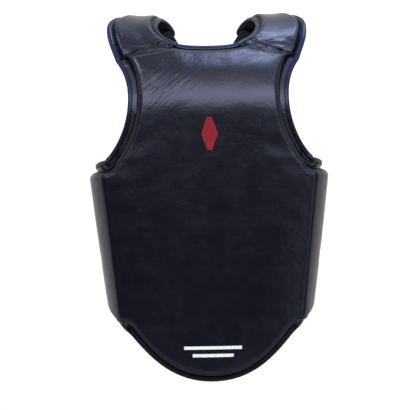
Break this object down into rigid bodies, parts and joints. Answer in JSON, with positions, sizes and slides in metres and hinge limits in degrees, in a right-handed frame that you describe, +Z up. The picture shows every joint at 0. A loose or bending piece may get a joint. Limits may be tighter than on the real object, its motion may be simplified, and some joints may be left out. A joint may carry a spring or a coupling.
{
  "type": "chest protector",
  "caption": "Padded leather torso guard with hinged side wings, shoulder caps that fold over the shoulders, and elastic back straps fastened by rings and hook-and-loop ends.",
  "frame": {"origin": "on the upright axis of the wearer's torso, midway between the wings, level with the lowest point of the hem", "axes": "+Z up the torso, -Y out of the front of the chest, +X towards the wing on the right of someone who looks at the front"},
  "size_m": [0.3726, 0.2567, 0.5711],
  "materials": {
    "cover_leather": "satin",
    "binding_leather": "satin",
    "lining_cloth": "matte",
    "shock_foam": "matte",
    "comfort_foam": "matte",
    "elastic_webbing": "matte",
    "touch_tape": "matte",
    "ring_steel": "satin",
    "emblem_thread": "matte"
  },
  "bodies": {
    "chest": {"armhole_binding_left": "binding_leather", "armhole_binding_right": "binding_leather", "chest_comfort_foam": "comfort_foam", "chest_cover": "cover_leather", "chest_lining": "lining_cloth", "chest_shock_foam": "shock_foam", "crossing_patch_inner": "cover_leather", "crossing_patch_outer": "cover_leather", "emblem_patch": "emblem_thread", "hem_binding": "binding_leather", "neckline_binding": "binding_leather"},
    "shoulder_left": {"cross_strap_upper_left": "elastic_webbing", "shoulder_arm_binding_left": "binding_leather", "shoulder_cover_left": "cover_leather", "shoulder_end_binding_left": "binding_leather", "shoulder_foam_left": "shock_foam", "shoulder_lining_left": "lining_cloth", "shoulder_neck_binding_left": "binding_leather"},
    "wing_left": {"cross_strap_chape_left": "elastic_webbing", "cross_strap_lower_left": "elastic_webbing", "loop_tape_cross_left": "touch_tape", "wing_cover_left": "cover_leather", "wing_foam_left": "shock_foam", "wing_hem_binding_left": "binding_leather", "wing_lining_left": "lining_cloth", "wing_rear_binding_left": "binding_leather", "wing_top_binding_left": "binding_leather"},
    "ring_cross_left": {"cross_strap_ring_left": "ring_steel"},
    "tail_cross_left": {"hook_tape_cross_left": "touch_tape", "strap_tail_cross_left": "elastic_webbing"},
    "shoulder_right": {"cross_strap_upper_right": "elastic_webbing", "shoulder_arm_binding_right": "binding_leather", "shoulder_cover_right": "cover_leather", "shoulder_end_binding_right": "binding_leather", "shoulder_foam_right": "shock_foam", "shoulder_lining_right": "lining_cloth", "shoulder_neck_binding_right": "binding_leather"},
    "wing_right": {"cross_strap_chape_right": "elastic_webbing", "cross_strap_lower_right": "elastic_webbing", "loop_tape_cross_right": "touch_tape", "loop_tape_waist": "touch_tape", "waist_strap": "elastic_webbing", "waist_strap_chape": "elastic_webbing", "wing_cover_right": "cover_leather", "wing_foam_right": "shock_foam", "wing_hem_binding_right": "binding_leather", "wing_lining_right": "lining_cloth", "wing_rear_binding_right": "binding_leather", "wing_top_binding_right": "binding_leather"},
    "ring_cross_right": {"cross_strap_ring_right": "ring_steel"},
    "tail_cross_right": {"hook_tape_cross_right": "touch_tape", "strap_tail_cross_right": "elastic_webbing"},
    "ring_waist": {"waist_strap_ring": "ring_steel"},
    "tail_waist": {"hook_tape_waist": "touch_tape", "strap_tail_waist": "elastic_webbing"}
  },
  "joints": [
    {"name": "shoulder_left_fold", "type": "hinge", "parent": "chest", "child": "shoulder_left", "pos_m": [-0.093, -0.07586, 0.50075], "axis": [0.9651, -0.0074, 0.2618], "range_deg": [-20, 15], "stiffness_Nm_per_rad": 1, "deforming": ["cross_strap_upper_left"]},
    {"name": "wing_left_crease", "type": "hinge", "parent": "chest", "child": "wing_left", "pos_m": [-0.15584, -0.12139, 0.21664], "axis": [-0.098, -0.0054, 0.9952], "range_deg": [0, 25], "stiffness_Nm_per_rad": 1.5, "deforming": ["cross_strap_lower_left", "loop_tape_cross_left"]},
    {"name": "ring_cross_left_swing", "type": "hinge", "parent": "wing_left", "child": "ring_cross_left", "pos_m": [-0.1212, 0.01356, 0.30122], "axis": [-0.3759, -0.3074, 0.8742], "range_deg": [-8, 8]},
    {"name": "tail_cross_left_peel", "type": "hinge", "parent": "wing_left", "child": "tail_cross_left", "pos_m": [-0.11193, 0.0241, 0.30891], "axis": [-0.3759, -0.3074, 0.8742], "range_deg": [0, 110]},
    {"name": "shoulder_right_fold", "type": "hinge", "parent": "chest", "child": "shoulder_right", "pos_m": [0.093, -0.07586, 0.50075], "axis": [0.9651, 0.0074, -0.2618], "range_deg": [-20, 15], "stiffness_Nm_per_rad": 1, "deforming": ["cross_strap_upper_right"]},
    {"name": "wing_right_crease", "type": "hinge", "parent": "chest", "child": "wing_right", "pos_m": [0.15584, -0.12139, 0.21664], "axis": [-0.098, 0.0054, -0.9952], "range_deg": [0, 25], "stiffness_Nm_per_rad": 1.5, "deforming": ["cross_strap_lower_right", "loop_tape_cross_right", "waist_strap", "loop_tape_waist"]},
    {"name": "ring_cross_right_swing", "type": "hinge", "parent": "wing_right", "child": "ring_cross_right", "pos_m": [0.1212, 0.01356, 0.30122], "axis": [-0.3759, 0.3074, -0.8742], "range_deg": [-8, 8]},
    {"name": "tail_cross_right_peel", "type": "hinge", "parent": "wing_right", "child": "tail_cross_right", "pos_m": [0.11193, 0.0241, 0.30891], "axis": [-0.3759, 0.3074, -0.8742], "range_deg": [0, 110]},
    {"name": "ring_waist_swing", "type": "hinge", "parent": "wing_right", "child": "ring_waist", "pos_m": [0.11007, 0.01467, 0.19042], "axis": [-0.0542, -0.0475, -0.9974], "range_deg": [-8, 8]},
    {"name": "tail_waist_peel", "type": "hinge", "parent": "wing_right", "child": "tail_waist", "pos_m": [0.09952, 0.02671, 0.19042], "axis": [-0.0542, -0.0475, -0.9974], "range_deg": [0, 110]}
  ]
}
